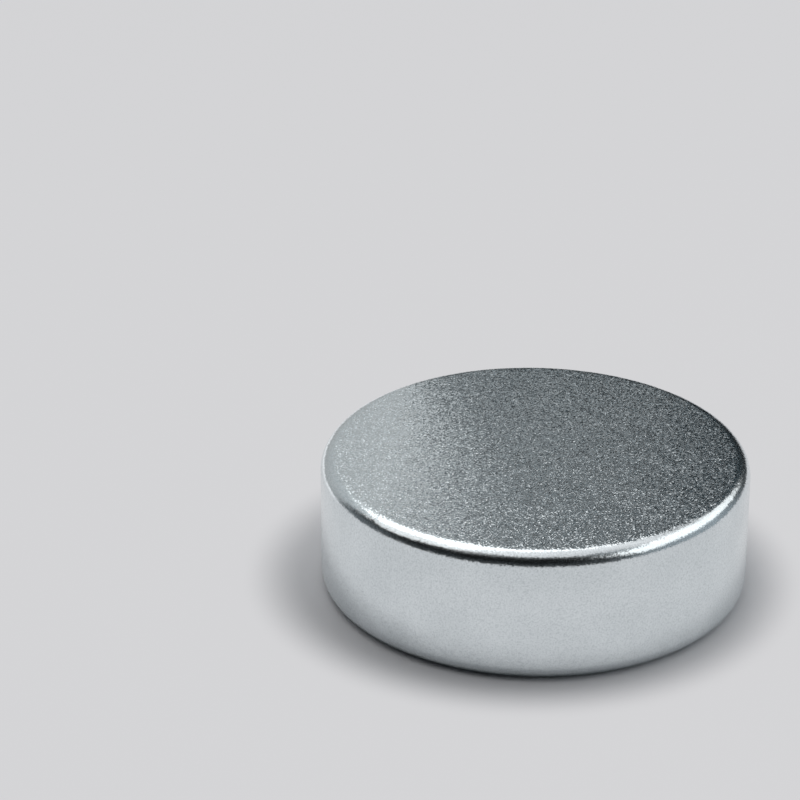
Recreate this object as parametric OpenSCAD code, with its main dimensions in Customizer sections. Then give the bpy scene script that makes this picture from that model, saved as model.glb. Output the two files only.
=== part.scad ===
// Plated disc magnet.
// One solid of sintered neodymium alloy: a turned disc with two ground faces, a ground rim and tumbled,
// rounded edges. The nickel plating is a skin of a few hundredths of a millimetre, and every size here is
// the finished size over it. The disc lies on its lower face, centred on the Z axis.

/* [Disc] */
// Diameter of the rim, over the plating
disc_d = 25; // [10:0.5:60]
// Thickness from face to face, over the plating
disc_t = 8; // [4:0.5:20]

/* [Edges] */
// Radius of the tumbled round between each face and the rim
edge_r = 0.9; // [0.2:0.1:1.5]

/* [Hidden] */
$fn = 180;

// Where the arc of each edge has its middle: the same distance in from the rim and from its face
edge_middle_x = disc_d / 2 - edge_r;
edge_middles_z = [edge_r, disc_t - edge_r];

// Half of the disc's section, on the +X side of its axis: the core that carries both flat faces, the band
// that carries the straight rim, and a full circle in each corner, which meets both of them at a tangent
module half_section() {
    square([edge_middle_x, disc_t]);
    translate([0, edge_r])
        square([disc_d / 2, disc_t - 2 * edge_r]);
    for (z = edge_middles_z)
        translate([edge_middle_x, z])
            circle(r = edge_r);
}

// The disc, turned about its axis in one piece
module disc_magnet() {
    color([0.74, 0.78, 0.80])
        rotate_extrude()
            half_section();
}

disc_magnet();
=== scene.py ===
"""Plated disc magnet on a pale studio table.

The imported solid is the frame. The disc is drawn over it as one closed skin of the same size, in satin
nickel with a fine grain. Lengths are in metres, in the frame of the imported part: +Z runs up the disc's
axis, and the origin is the middle of its lower face.
"""

import logging
import math
from dataclasses import dataclass
from enum import Enum
from typing import Any

import bpy
import numpy as np
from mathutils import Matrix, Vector


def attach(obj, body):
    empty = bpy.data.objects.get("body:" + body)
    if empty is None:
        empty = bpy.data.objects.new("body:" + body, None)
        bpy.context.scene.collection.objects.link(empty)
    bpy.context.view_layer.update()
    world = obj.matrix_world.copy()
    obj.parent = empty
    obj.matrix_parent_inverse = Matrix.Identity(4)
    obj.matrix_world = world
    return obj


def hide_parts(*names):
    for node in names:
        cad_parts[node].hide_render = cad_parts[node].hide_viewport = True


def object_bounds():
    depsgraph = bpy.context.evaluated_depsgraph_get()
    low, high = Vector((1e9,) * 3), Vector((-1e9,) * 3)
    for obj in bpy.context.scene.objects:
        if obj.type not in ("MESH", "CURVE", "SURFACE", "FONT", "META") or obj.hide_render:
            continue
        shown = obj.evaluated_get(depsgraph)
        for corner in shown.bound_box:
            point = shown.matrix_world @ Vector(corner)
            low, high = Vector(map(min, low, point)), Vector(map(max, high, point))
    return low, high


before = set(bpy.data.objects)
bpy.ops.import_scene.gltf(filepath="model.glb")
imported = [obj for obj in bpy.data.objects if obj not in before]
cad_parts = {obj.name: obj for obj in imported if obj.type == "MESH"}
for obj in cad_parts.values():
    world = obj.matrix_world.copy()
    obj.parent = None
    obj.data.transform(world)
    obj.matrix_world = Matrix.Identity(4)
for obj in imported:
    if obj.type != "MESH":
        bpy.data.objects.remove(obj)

LOG = logging.getLogger("disc_magnet")
CAD_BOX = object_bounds()
MM = 0.001

# A colour's red, green and blue, and a pair of bounds or of ends
Colour = tuple[float, float, float]
Span = tuple[float, float]

# The tone of the table and of the room
PALE: Colour = (0.672, 0.672, 0.686)

class Number:
    """A socket of a shader that carries a number, with the arithmetic of Python."""

    def __init__(self, shader: "Shader", socket: bpy.types.NodeSocket) -> None:
        """Wraps a socket.

        Args:
            shader: the node tree that the socket is in.
            socket: the output that holds the number.
        """
        self.shader = shader
        self.socket = socket

    def _with(self, operation: str, first: Any, second: Any) -> "Number":
        """Adds one Math node.

        Args:
            operation: the Math node's operation.
            first: its first value, a number or a wrapped socket.
            second: its second value.

        Returns:
            The node's result, wrapped.
        """
        node = self.shader.node("ShaderNodeMath", {"operation": operation}, {0: first, 1: second})
        return Number(self.shader, node.outputs[0])

    def __add__(self, other: Any) -> "Number":
        """This number plus another."""
        return self._with("ADD", self, other)

    def __radd__(self, other: Any) -> "Number":
        """Another number plus this one."""
        return self._with("ADD", other, self)

    def __sub__(self, other: Any) -> "Number":
        """This number less another."""
        return self._with("SUBTRACT", self, other)

    def __rsub__(self, other: Any) -> "Number":
        """Another number less this one."""
        return self._with("SUBTRACT", other, self)

    def __mul__(self, other: Any) -> "Number":
        """This number times another."""
        return self._with("MULTIPLY", self, other)

    def __rmul__(self, other: Any) -> "Number":
        """Another number times this one."""
        return self._with("MULTIPLY", other, self)

    def __gt__(self, other: Any) -> "Number":
        """1 where this number is the larger, else 0."""
        return self._with("GREATER_THAN", self, other)

    def turn_from(self, other: Any) -> "Number":
        """The angle, in radians, whose tangent is this number over another."""
        return self._with("ARCTAN2", self, other)

    def arc_sine(self) -> "Number":
        """The angle, in radians, whose sine is this number."""
        return self._with("ARCSINE", self, 0.0)

    def larger(self, other: Any) -> "Number":
        """The larger of this number and another."""
        return self._with("MAXIMUM", self, other)

    def between(self, low: float, high: float) -> "Number":
        """Runs smoothly from 0 at one value to 1 at another.

        Args:
            low: where the result starts to leave 0.
            high: where it reaches 1.

        Returns:
            The smooth step, wrapped.
        """
        settings = {"interpolation_type": "SMOOTHSTEP", "clamp": True}
        values = {"Value": self, "From Min": low, "From Max": high, "To Min": 0.0, "To Max": 1.0}
        node = self.shader.node("ShaderNodeMapRange", settings, values)
        return Number(self.shader, node.outputs["Result"])


class Shader:
    """A node tree under construction."""

    def __init__(self, tree: bpy.types.NodeTree) -> None:
        """Starts from an empty tree.

        Args:
            tree: the node tree of a material or a world, which is cleared.
        """
        self.tree = tree
        tree.nodes.clear()

    def node(self, kind: str, settings: dict[str, Any] | None = None,
             inputs: dict[int | str, Any] | None = None) -> bpy.types.Node:
        """Adds a node, sets it up, then fills or links its sockets.

        Args:
            kind: the node's type.
            settings: its attributes, set before the sockets.
            inputs: a plain value, a socket or a wrapped number for each input, by name or place.

        Returns:
            The node.
        """
        node = self.tree.nodes.new(kind)
        for name, value in (settings or {}).items():
            setattr(node, name, value)
        for key, value in (inputs or {}).items():
            socket = node.inputs[key]
            if isinstance(value, Number):
                value = value.socket
            if isinstance(value, bpy.types.NodeSocket):
                self.tree.links.new(value, socket)
            else:
                socket.default_value = value
        return node

    def number(self, node: bpy.types.Node, output: int | str = 0) -> Number:
        """One output of a node, as a number to reckon with."""
        return Number(self, node.outputs[output])

    def place(self) -> bpy.types.NodeSocket:
        """The point's place in the part's own frame, in metres."""
        return self.node("ShaderNodeTexCoord").outputs["Object"]

    def noise(self, place: bpy.types.NodeSocket, size: float, detail: float = 0.0,
              shift: float = 0.0) -> Number:
        """Soft lumps of one size.

        Args:
            place: the point to read it at.
            size: the length of a lump, in metres.
            detail: how many finer layers are added.
            shift: how far the pattern is moved, so that two of one size differ.

        Returns:
            The noise, from 0 to 1 and mostly near a half.
        """
        moved = self.vector("ADD", place, (shift, shift, shift))
        values = {"Vector": moved, "Scale": 1.0 / size, "Detail": detail}
        return self.number(self.node("ShaderNodeTexNoise", {}, values), "Fac")

    def vector(self, operation: str, *parts: Any) -> bpy.types.NodeSocket:
        """Reckons with vectors.

        Args:
            operation: the Vector Math node's operation.
            parts: its vectors, plain or sockets.

        Returns:
            The resulting vector's socket.
        """
        inputs = dict(enumerate(parts))
        return self.node("ShaderNodeVectorMath", {"operation": operation}, inputs).outputs["Vector"]

    def mix(self, share: Any, first: Any, second: Any) -> bpy.types.NodeSocket:
        """A colour between two others.

        Args:
            share: 0 gives the first colour and 1 the second.
            first: four numbers or a socket.
            second: four numbers or a socket.

        Returns:
            The mixed colour's socket.
        """
        # The node has a set of sockets for each kind of data: 6 and 7 are its colours, 2 its colour out
        node = self.node("ShaderNodeMix", {"data_type": "RGBA"}, {0: share, 6: first, 7: second})
        return node.outputs[2]

    def sees_backdrop(self) -> Number:
        """1 for rays from the camera and for those that metal or glass sends on, else 0."""
        path = self.node("ShaderNodeLightPath")
        seen = self.number(path, "Is Camera Ray")
        seen = seen.larger(self.number(path, "Is Glossy Ray"))
        return seen.larger(self.number(path, "Is Transmission Ray"))


def opaque(colour: Colour) -> tuple[float, float, float, float]:
    """The four numbers of a colour socket."""
    return (*colour, 1.0)


def new_material(name: str) -> tuple[bpy.types.Material, Shader]:
    """An empty material and the shader to fill."""
    material = bpy.data.materials.new(name)
    material.use_nodes = True
    return material, Shader(material.node_tree)


@dataclass(frozen=True)
class SatinNickel:
    """Bright nickel plated over a tumbled surface.

    The plating is a metal mirror. Its grain is a field of facets under a tenth of a millimetre across,
    which tilt the mirror by a few degrees, so that it sparkles where bright meets dark. The facets are
    stronger on the faces than on the rounds and the rim. Mottle, cloudy patches and a few pinholes dull
    the colour.
    """

    flat_radius: float
    colour: Colour = (0.850, 0.902, 0.918)
    dull_colour: Colour = (0.640, 0.690, 0.708)
    face_roughness: float = 0.22
    rim_roughness: float = 0.20
    roughness_range: float = 0.03
    grain_size: float = 0.075 * MM
    grain_tilt: float = 0.285
    calm_tilt: float = 0.08
    grain_share: float = 0.30
    mottle_size: float = 0.10 * MM
    mottle_share: float = 0.50
    mottle_span: Span = (0.42, 0.72)
    calm_over: float = 0.35 * MM
    peel_size: float = 0.20 * MM
    peel_height: float = 0.006 * MM
    patch_size: float = 3.0 * MM
    patch_span: Span = (0.3, 0.7)
    pit_spacing: float = 0.9 * MM
    pit_radius: float = 0.035 * MM
    pit_core: float = 0.3
    pit_depth: float = 0.02 * MM
    pit_share: float = 0.10

    def pits(self, shader: Shader, place: bpy.types.NodeSocket) -> Number:
        """Sparse pinholes: one may stand in each cell of a loose lattice, and few cells have one.

        Args:
            shader: the shader to add to.
            place: the point to read it at.

        Returns:
            1 in the middle of a pinhole, falling smoothly to 0 at its edge and everywhere else.
        """
        cells = shader.node("ShaderNodeTexVoronoi", {"feature": "F1"},
                            {"Vector": place, "Scale": 1.0 / self.pit_spacing})
        reach = self.pit_radius / self.pit_spacing
        inside = 1 - shader.number(cells, "Distance").between(self.pit_core * reach, reach)
        draw = shader.number(shader.node("ShaderNodeSeparateColor", {}, {0: cells.outputs["Color"]}))
        return inside * (draw > 1.0 - self.pit_share)

    def grain(self, shader: Shader, place: bpy.types.NodeSocket,
              face: Number) -> tuple[bpy.types.NodeSocket, Number]:
        """Tiny facets, each a cell with a tilt and a tone of its own.

        The surface normal plus a random vector for each cell, made one long again. The vector's three
        parts are drawn evenly between plus and minus half the tilt.

        Args:
            shader: the shader to add to.
            place: the point to read it at.
            face: 1 on the flat faces, where the facets tilt most, and 0 on the rounds and the rim.

        Returns:
            The normal's socket, and the cell's tone from 0 to 1.
        """
        cells = shader.node("ShaderNodeTexVoronoi", {"feature": "F1"},
                            {"Vector": place, "Scale": 1.0 / self.grain_size})
        lean = shader.vector("SUBTRACT", cells.outputs["Color"], (0.5, 0.5, 0.5))
        tilt = self.calm_tilt + face * (self.grain_tilt - self.calm_tilt)
        leans = shader.node("ShaderNodeVectorMath", {"operation": "SCALE"},
                            {"Vector": lean, "Scale": tilt})
        straight = shader.node("ShaderNodeNewGeometry").outputs["Normal"]
        normal = shader.vector("NORMALIZE", shader.vector("ADD", straight, leans.outputs[0]))
        draws = shader.node("ShaderNodeSeparateColor", {}, {0: cells.outputs["Color"]})
        return normal, shader.number(draws, "Blue")

    def on_face(self, shader: Shader, place: bpy.types.NodeSocket) -> Number:
        """1 on the flat of either face, falling to 0 a little way out on the round."""
        flat = shader.vector("MULTIPLY", place, (1.0, 1.0, 0.0))
        length = shader.node("ShaderNodeVectorMath", {"operation": "LENGTH"}, {0: flat})
        radius = shader.number(length, "Value")
        return 1 - radius.between(self.flat_radius, self.flat_radius + self.calm_over)

    def material(self) -> bpy.types.Material:
        """Builds the finish.

        Returns:
            The material, read in the part's own frame.
        """
        material, shader = new_material("satin_nickel")
        place = shader.place()
        face = self.on_face(shader, place)
        peel = shader.noise(place, self.peel_size, detail=1.0, shift=0.1)
        mottle = shader.noise(place, self.mottle_size, detail=1.0, shift=0.3).between(*self.mottle_span)
        patches = shader.noise(place, self.patch_size, detail=3.0, shift=0.2).between(*self.patch_span)
        pits = self.pits(shader, place)

        normal, tone = self.grain(shader, place, face)
        height = peel * self.peel_height - pits * self.pit_depth
        relief = shader.node("ShaderNodeBump", {}, {
            "Strength": 1.0,
            "Distance": 1.0,
            "Height": height,
            "Normal": normal,
        })
        roughness = self.rim_roughness + face * (self.face_roughness - self.rim_roughness)
        roughness = roughness + self.roughness_range * (patches - 0.5)
        patch_share = 1.0 - self.grain_share - self.mottle_share
        dull = tone * self.grain_share + mottle * self.mottle_share + patches * patch_share
        dull = dull.larger(pits)
        colour = shader.mix(dull, opaque(self.colour), opaque(self.dull_colour))
        metal = shader.node("ShaderNodeBsdfPrincipled", {}, {
            "Base Color": colour,
            "Metallic": 1.0,
            "Roughness": roughness,
            "Normal": relief.outputs["Normal"],
        })
        shader.node("ShaderNodeOutputMaterial", {}, {"Surface": metal.outputs[0]})
        return material


@dataclass(frozen=True)
class TablePaper:
    """Matt pale paper under the disc, which shows the disc's shadow and runs out to one even tone.

    The shadow shows within the first reach of its middle and is nearly gone beyond the second.
    """

    colour: Colour = PALE
    even_share: float = 0.96
    shadow_middle: tuple[float, float, float] = (-0.6 * MM, 0.3 * MM, 0.0)
    shadow_reach: Span = (12.8 * MM, 16.8 * MM)

    def material(self) -> bpy.types.Material:
        """Builds the finish.

        Returns:
            The material: what the lamps give it near the disc, and further out mostly its own even
            tone, for rays that see the backdrop. So the table keeps the disc's shadow.
        """
        material, shader = new_material("table_paper")
        place = shader.vector("SUBTRACT", shader.place(), self.shadow_middle)
        length = shader.node("ShaderNodeVectorMath", {"operation": "LENGTH"}, {0: place})
        away = shader.number(length, "Value").between(*self.shadow_reach)
        paper = shader.node("ShaderNodeBsdfDiffuse", {}, {"Color": opaque(self.colour)})
        even = shader.node("ShaderNodeEmission", {}, {"Color": opaque(self.colour), "Strength": 1.0})
        both = shader.node("ShaderNodeMixShader", {}, {
            "Fac": shader.sees_backdrop() * away * self.even_share,
            1: paper.outputs[0],
            2: even.outputs[0],
        })
        shader.node("ShaderNodeOutputMaterial", {}, {"Surface": both.outputs[0]})
        return material


@dataclass(frozen=True)
class CardBoard:
    """Matt board for the cards round the table, whose tone changes across it and up it.

    The tones at its foot and at its head are each given on the left and on the right, and one tint
    multiplies them all. Both changes run smoothly between the turns and between the rises given.
    """

    name: str
    tint: Colour
    foot: Span
    head: Span
    turns: Span
    rises: Span

    def tone(self, shader: Shader, across: Number, ends: Span) -> bpy.types.NodeSocket:
        """The board's colour along its foot or its head.

        Args:
            shader: the shader to add to.
            across: 0 on the left and 1 on the right.
            ends: the tone on the left and the tone on the right.

        Returns:
            The colour's socket.
        """
        left, right = (opaque(tuple(tone * part for part in self.tint)) for tone in ends)
        return shader.mix(across, left, right)

    def material(self) -> bpy.types.Material:
        """Builds the finish.

        The turn of a point about the disc's axis is the arc tangent of its x over its y. Its rise is
        the arc sine of its z over its distance from the origin.

        Returns:
            The material.
        """
        material, shader = new_material(self.name)
        straight = shader.vector("NORMALIZE", shader.place())
        parts = shader.node("ShaderNodeSeparateXYZ", {}, {0: straight})
        turn = shader.number(parts, "X").turn_from(shader.number(parts, "Y"))
        rise = shader.number(parts, "Z").arc_sine()
        across = turn.between(*map(math.radians, self.turns))
        up = rise.between(*map(math.radians, self.rises))
        foot = self.tone(shader, across, self.foot)
        head = self.tone(shader, across, self.head)
        board = shader.node("ShaderNodeBsdfDiffuse", {}, {"Color": shader.mix(up, foot, head)})
        shader.node("ShaderNodeOutputMaterial", {}, {"Surface": board.outputs[0]})
        return material


class Face(Enum):
    """The two flat faces of the disc, with the way each looks along Z."""

    LOWER = -1
    UPPER = 1


def mesh_object(name: str, points: np.ndarray, quads: np.ndarray) -> bpy.types.Object:
    """Puts a mesh of four-sided faces into the scene, smooth shaded.

    Args:
        name: the object's name.
        points: one row of x, y and z for each corner.
        quads: one row of four corner numbers for each face, counter-clockwise seen from outside.

    Returns:
        The object, at the origin.
    """
    mesh = bpy.data.meshes.new(name)
    mesh.from_pydata(points.tolist(), [], quads.tolist())
    mesh.polygons.foreach_set("use_smooth", np.ones(len(quads), dtype=bool))
    mesh.update()
    made = bpy.data.objects.new(name, mesh)
    bpy.context.scene.collection.objects.link(made)
    return made


def grid_quads(numbers: np.ndarray) -> np.ndarray:
    """Joins a grid of corners into quads.

    Args:
        numbers: the corner numbers, rows by columns. Quads turn from the next row to the next column.

    Returns:
        One row of four corner numbers for each cell.
    """
    corners = (numbers[:-1, :-1], numbers[1:, :-1], numbers[1:, 1:], numbers[:-1, 1:])
    return np.stack([corner.ravel() for corner in corners], axis=1)


@dataclass
class DiscMagnet:
    """The disc in one skin: two ground faces, a straight ground rim and a tumbled round at each edge."""

    diameter: float
    thickness: float
    edge_round: float = 0.9 * MM
    cells_across: int = 144
    round_steps: int = 16
    rim_steps: int = 40
    ripple_depth: float = 0.006 * MM
    ripple_lengths: Span = (0.7 * MM, 2.2 * MM)
    ripple_waves: int = 48
    seed: int = 7

    @property
    def flat_radius(self) -> float:
        """The radius of the flat part of a face."""
        return self.diameter / 2 - self.edge_round

    def ripple(self, points: np.ndarray) -> np.ndarray:
        """How far tumbling and plating left the surface below its full size.

        It is a sum of plane waves. Each wave's direction, length and phase are drawn once from a seeded
        generator, with the lengths between two bounds. The sum is squeezed into 0 to 1 by half of one
        plus its hyperbolic tangent.

        Args:
            points: one row of x, y and z for each point.

        Returns:
            The depth below the full size at each point, from 0 to ripple_depth.
        """
        draws = np.random.default_rng(self.seed)
        directions = draws.normal(size=(self.ripple_waves, 3))
        directions /= np.linalg.norm(directions, axis=1, keepdims=True)
        lengths = draws.uniform(*self.ripple_lengths, size=self.ripple_waves)
        phases = draws.uniform(0.0, 2.0 * np.pi, size=self.ripple_waves)
        turns = 2.0 * np.pi * directions / lengths[:, None]
        total = np.cos(points @ turns.T + phases).sum(axis=1)
        total /= math.sqrt(self.ripple_waves / 2)
        return self.ripple_depth * 0.5 * (1.0 + np.tanh(total))

    def face_grid(self, face: Face) -> np.ndarray:
        """Lays an even grid over one flat.

        A square grid of a and b, each from -1 to 1, is bent onto the disc: the larger of the two gives
        the radius, and the smaller over the larger gives the angle within its quarter. The cells stay
        nearly even, and the edge corners stand at equal angles.

        Args:
            face: which flat.

        Returns:
            The points, rows along a by columns along b, each with x, y and z.
        """
        steps = np.linspace(-1.0, 1.0, self.cells_across + 1)
        a, b = np.meshgrid(steps, steps, indexing="ij")
        by_a = np.abs(a) > np.abs(b)
        radius = np.where(by_a, a, b)
        share = np.divide(np.where(by_a, b, a), radius, out=np.zeros_like(a), where=radius != 0)
        angle = np.where(by_a, share * np.pi / 4, np.pi / 2 - share * np.pi / 4)
        height = self.thickness if face is Face.UPPER else 0.0
        x = radius * self.flat_radius * np.cos(angle)
        y = radius * self.flat_radius * np.sin(angle)
        return np.stack([x, y, np.full_like(x, height)], axis=-1)

    def section(self) -> tuple[np.ndarray, np.ndarray, np.ndarray]:
        """The outline from the edge of the lower flat, out round the rim, to the edge of the upper flat.

        Each round is a quarter circle: its middle plus the radius times the cosine and sine of the
        tilt. The tilt runs from straight down to level, stays there up the rim, and goes on to
        straight up.

        Returns:
            The radius, the height and the tilt of the outward normal at each step.
        """
        quarter = np.linspace(0.0, np.pi / 2, self.round_steps + 1)
        level = np.zeros(self.rim_steps - 1)
        tilt = np.concatenate([quarter - np.pi / 2, level, quarter])
        rise = np.linspace(self.edge_round, self.thickness - self.edge_round, self.rim_steps + 1)
        lower_middles = np.full(self.round_steps + 1, self.edge_round)
        upper_middles = np.full(self.round_steps + 1, self.thickness - self.edge_round)
        middles = np.concatenate([lower_middles, rise[1:-1], upper_middles])
        radius = self.flat_radius + self.edge_round * np.cos(tilt)
        height = middles + self.edge_round * np.sin(tilt)
        return radius, height, tilt

    def edge_order(self) -> np.ndarray:
        """The numbers of a face grid's edge corners, counter-clockwise from one eighth turn back."""
        last = self.cells_across
        numbers = np.arange((last + 1) ** 2).reshape(last + 1, last + 1)
        sides = (numbers[last, :-1], numbers[:0:-1, last], numbers[0, :0:-1], numbers[:-1, 0])
        return np.concatenate(sides)

    def skin(self) -> tuple[np.ndarray, np.ndarray]:
        """The whole closed surface, rippled.

        The turned section is a grid of section steps by angles. Its first and last rows are the edge
        corners of the two face grids, so nothing is doubled and nothing stays open. Each point then
        sinks along its normal by the ripple's depth there.

        Returns:
            The points, and the quads that join them, facing outwards.
        """
        lower = self.face_grid(Face.LOWER).reshape(-1, 3)
        upper = self.face_grid(Face.UPPER).reshape(-1, 3)
        edge = self.edge_order()
        radius, height, tilt = (values[1:-1, None] for values in self.section())
        angle = -np.pi / 4 + np.arange(len(edge)) * 2.0 * np.pi / len(edge)
        band = np.stack(np.broadcast_arrays(radius * np.cos(angle), radius * np.sin(angle), height), -1)
        out = np.stack(np.broadcast_arrays(
            np.cos(tilt) * np.cos(angle), np.cos(tilt) * np.sin(angle), np.sin(tilt)), -1)

        points = np.concatenate([lower, upper, band.reshape(-1, 3)])
        normals = np.concatenate([
            np.tile((0.0, 0.0, Face.LOWER.value), (len(lower), 1)),
            np.tile((0.0, 0.0, Face.UPPER.value), (len(upper), 1)),
            out.reshape(-1, 3),
        ])
        points = points - normals * self.ripple(points)[:, None]

        side = self.cells_across + 1
        grid = np.arange(side * side).reshape(side, side)
        rows = np.arange(band.shape[0] * len(edge)).reshape(band.shape[:2]) + 2 * len(lower)
        rows = np.vstack([edge, rows, edge + len(lower)])
        rows = np.hstack([rows, rows[:, :1]])
        quads = np.concatenate([
            grid_quads(grid.T),
            grid_quads(grid + len(lower)),
            grid_quads(rows.T),
        ])
        return points, quads

    def build(self) -> bpy.types.Object:
        """Makes the disc, hangs it on the root body and hides the imported solid.

        Returns:
            The dressed piece.
        """
        points, quads = self.skin()
        piece = mesh_object("plated_disc", points, quads)
        piece.data.materials.append(SatinNickel(self.flat_radius).material())
        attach(piece, "root")
        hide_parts("disc_magnet")
        LOG.info("%s: %d points, %d faces", piece.name, len(points), len(quads))
        return piece


@dataclass(frozen=True)
class Heading:
    """A direction from the disc: degrees round from straight ahead, positive to the right, and up."""

    turn: float
    rise: float

    def vector(self) -> Vector:
        """The unit vector that points this way."""
        turn = math.radians(self.turn)
        rise = math.radians(self.rise)
        return Vector((math.sin(turn) * math.cos(rise), math.cos(turn) * math.cos(rise), math.sin(rise)))


@dataclass(frozen=True)
class SoftBox:
    """A lamp with a cloth front that faces the disc squarely. The camera doesn't see it.

    Its brightness is its power over pi times its area, so the power follows from the size.
    """

    name: str
    heading: Heading
    distance: float
    width: float
    height: float
    brightness: float

    def build(self, aim: Vector) -> bpy.types.Object:
        """Hangs the lamp and turns it to the disc.

        Args:
            aim: the point that it faces.

        Returns:
            The lamp.
        """
        lamp = bpy.data.lights.new(self.name, "AREA")
        lamp.shape = "RECTANGLE"
        lamp.size = self.width
        lamp.size_y = self.height
        lamp.energy = self.brightness * math.pi * self.width * self.height
        made = bpy.data.objects.new(self.name, lamp)
        back = self.heading.vector()
        made.location = aim + back * self.distance
        made.rotation_euler = back.to_track_quat("Z", "Y").to_euler()
        made.visible_camera = False
        bpy.context.scene.collection.objects.link(made)
        LOG.info("%s: %.1f W", self.name, lamp.energy)
        return made


@dataclass(frozen=True)
class Screen:
    """A curved card round the table, a patch of a dome, which the camera doesn't see.

    Turns and rises are in degrees, as in a Heading: where the card begins and ends, and between which
    its tone changes. The foot and the head each have a tone on the left and one on the right.
    """

    name: str
    turns: Span
    rises: Span
    radius: float
    tint: Colour
    foot: Span
    head: Span
    tone_turns: Span
    tone_rises: Span
    steps: int = 24

    def build(self) -> bpy.types.Object:
        """Stands the card up.

        A point of the card lies at the dome's radius along the heading of its turn and rise.

        Returns:
            The card, which the camera doesn't see.
        """
        turn, rise = np.meshgrid(np.radians(np.linspace(*self.turns, self.steps)),
                                 np.radians(np.linspace(*self.rises, self.steps)), indexing="ij")
        points = self.radius * np.stack(
            [np.sin(turn) * np.cos(rise), np.cos(turn) * np.cos(rise), np.sin(rise)], axis=-1)
        numbers = np.arange(self.steps ** 2).reshape(self.steps, self.steps)
        card = mesh_object(self.name, points.reshape(-1, 3), grid_quads(numbers))
        board = CardBoard(self.name, self.tint, self.foot, self.head, self.tone_turns, self.tone_rises)
        card.data.materials.append(board.material())
        card.visible_camera = False
        LOG.info("%s: stage", self.name)
        return card


@dataclass
class PhotoCamera:
    """The camera as it was fitted to the outline of the disc in the photograph.

    Its focal length and the middle of the face are in pixels of the picture, how far it looks down is
    in degrees, and the width of its sensor is in millimetres.
    """

    image_px: float = 800.0
    focal_px: float = 3159.8
    face_middle_px: Span = (535.3, 453.6)
    face_depth: float = 183.75 * MM
    look_down: float = 25.7
    sensor: float = 36.0

    def build(self, face_middle: Vector) -> bpy.types.Object:
        """Sets the camera up.

        The middle of the upper face lies on the ray of its pixel, at its depth, so the camera stands
        that far back from it: right and up by the pixel's offset from the centre, over the focal
        length, times the depth.

        Args:
            face_middle: the middle of the disc's upper face.

        Returns:
            The scene's camera.
        """
        data = bpy.data.cameras.new("camera")
        data.sensor_width = self.sensor
        data.lens = self.focal_px / self.image_px * self.sensor
        made = bpy.data.objects.new("camera", data)
        made.rotation_euler = (math.radians(90.0 - self.look_down), 0.0, 0.0)
        turned = made.rotation_euler.to_matrix()
        scale = self.face_depth / self.focal_px
        right = (self.face_middle_px[0] - self.image_px / 2) * scale
        up = (self.image_px / 2 - self.face_middle_px[1]) * scale
        made.location = face_middle - turned @ Vector((right, up, -self.face_depth))
        bpy.context.scene.collection.objects.link(made)
        bpy.context.scene.camera = made
        LOG.info("camera: %.1f mm lens at %s", data.lens, tuple(round(v, 4) for v in made.location))
        return made


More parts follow.
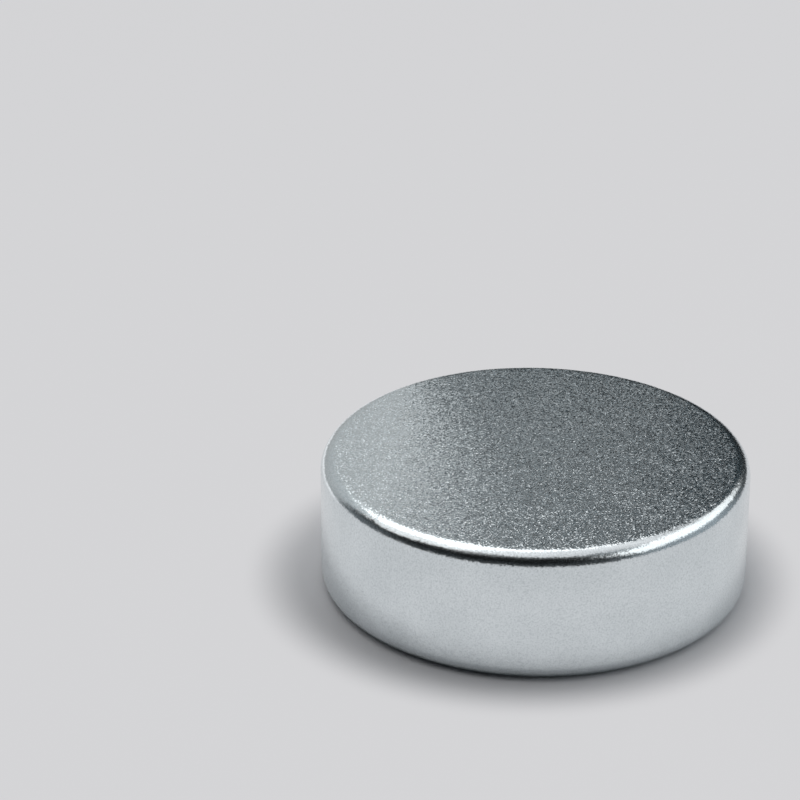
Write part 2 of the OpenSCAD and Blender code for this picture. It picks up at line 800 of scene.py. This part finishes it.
@dataclass
class Studio:
    """The table, the lamps, the cards and the pale room round them."""

    aim: Vector
    table_radius: float = 1.6
    room_colour: Colour = PALE
    card_radius: float = 0.5
    back_card_radius: float = 0.2
    card_tint: Colour = (0.9, 1.0, 1.05)
    back_card_tint: Colour = (0.68, 1.0, 1.15)
    card_foot: float = -1.0
    front_head: float = 66.0
    front_tone_rises: Span = (6.0, 32.0)

    def table(self) -> bpy.types.Object:
        """Lays the table top at the height of the disc's lower face.

        Returns:
            The table.
        """
        reach = self.table_radius
        corners = np.array([(-reach, -reach, 0.0), (reach, -reach, 0.0), (-reach, reach, 0.0),
                            (reach, reach, 0.0)])
        top = mesh_object("table", corners, np.array([(0, 1, 3, 2)]))
        top.data.materials.append(TablePaper().material())
        LOG.info("table: stage")
        return top

    def room(self) -> None:
        """Fills the room with one pale tone, the same for every ray."""
        world = bpy.data.worlds.new("room")
        world.use_nodes = True
        shader = Shader(world.node_tree)
        light = shader.node("ShaderNodeBackground", {}, {
            "Color": opaque(self.room_colour),
            "Strength": 1.0,
        })
        shader.node("ShaderNodeOutputWorld", {}, {"Surface": light.outputs[0]})
        bpy.context.scene.world = world

    def lamps(self) -> tuple[SoftBox, ...]:
        """The soft boxes, from the large ones to the small ones close to the disc.

        The upper round mirrors the strip as its bright band, and the right box carries the band on to
        the right. The ceiling box lights the face from straight above. The left, near and middle boxes
        light it from low behind. The near one's light ends over the left part of the face, with an edge
        that is sharp at the back and soft in front. The front box keeps the face from going black when
        it is seen from behind.

        Returns:
            The lamps, not yet hung.
        """
        return (
            SoftBox("soft_box_strip", Heading(turn=-50.0, rise=57.5), distance=0.36,
                    width=0.54, height=0.26, brightness=1.0),
            SoftBox("soft_box_ceiling", Heading(turn=-40.0, rise=87.0), distance=0.4,
                    width=0.58, height=0.153, brightness=0.20),
            SoftBox("soft_box_right", Heading(turn=86.0, rise=40.0), distance=0.35,
                    width=0.60, height=0.185, brightness=1.1),
            SoftBox("soft_box_left", Heading(turn=-27.0, rise=26.0), distance=0.15,
                    width=0.176, height=0.110, brightness=0.085),
            SoftBox("soft_box_near", Heading(turn=-52.0, rise=20.0), distance=0.019,
                    width=0.0265, height=0.020, brightness=0.335),
            SoftBox("soft_box_middle", Heading(turn=4.0, rise=25.5), distance=0.030,
                    width=0.019, height=0.008, brightness=0.13),
            SoftBox("soft_box_front", Heading(turn=180.0, rise=41.0), distance=0.021,
                    width=0.032, height=0.009, brightness=0.12),
        )

    def cards(self) -> tuple[Screen, ...]:
        """The cards, which the metal mirrors as its dark and grey parts.

        The upper round mirrors the front card as the dark band under its bright one. The face mirrors
        the back card as its grey. The others join the two.

        Returns:
            The cards, not yet stood up.
        """
        return (
            Screen("dark_screen_front", turns=(148.0, 252.0),
                   rises=(self.card_foot, self.front_head), radius=self.card_radius, tint=self.card_tint,
                   foot=(0.10, 0.10), head=(0.018, 0.018),
                   tone_turns=(-1.0, 1.0), tone_rises=self.front_tone_rises),
            Screen("grey_screen_near_right", turns=(100.0, 148.0),
                   rises=(self.card_foot, self.front_head), radius=self.card_radius, tint=self.card_tint,
                   foot=(0.95, 0.10), head=(0.65, 0.018),
                   tone_turns=(112.0, 148.0), tone_rises=self.front_tone_rises),
            Screen("grey_screen_near_left", turns=(-108.0, -66.0),
                   rises=(self.card_foot, self.front_head), radius=self.card_radius, tint=self.card_tint,
                   foot=(0.10, 0.36), head=(0.018, 0.06),
                   tone_turns=(-108.0, -80.0), tone_rises=self.front_tone_rises),
            Screen("dark_screen_back", turns=(-66.0, 38.0),
                   rises=(self.card_foot, 46.5), radius=self.back_card_radius, tint=self.back_card_tint,
                   foot=(0.15, 0.05), head=(0.28, 0.20),
                   tone_turns=(-5.0, 10.0), tone_rises=(10.0, 40.0)),
            Screen("grey_screen_right", turns=(36.0, 102.0),
                   rises=(self.card_foot, 50.0), radius=self.card_radius, tint=self.card_tint,
                   foot=(0.10, 0.95), head=(0.15, 0.75),
                   tone_turns=(40.0, 80.0), tone_rises=(20.0, 60.0)),
        )

    def build(self) -> None:
        """Sets up everything round the disc."""
        self.table()
        self.room()
        for lamp in self.lamps():
            lamp.build(self.aim)
        for card in self.cards():
            card.build()


def main() -> None:
    """Builds the disc and the studio."""
    logging.basicConfig(level=logging.INFO, format="%(name)s: %(message)s")
    scene = bpy.context.scene
    scene.view_settings.view_transform = "Standard"
    low, high = (np.array(corner) for corner in CAD_BOX)
    size = high - low
    DiscMagnet(diameter=float(size[0]), thickness=float(size[2])).build()
    PhotoCamera().build(face_middle=Vector((0.0, 0.0, float(high[2]))))
    Studio(aim=Vector((0.0, 0.0, float(high[2])))).build()


if __name__ == "__main__":
    main()
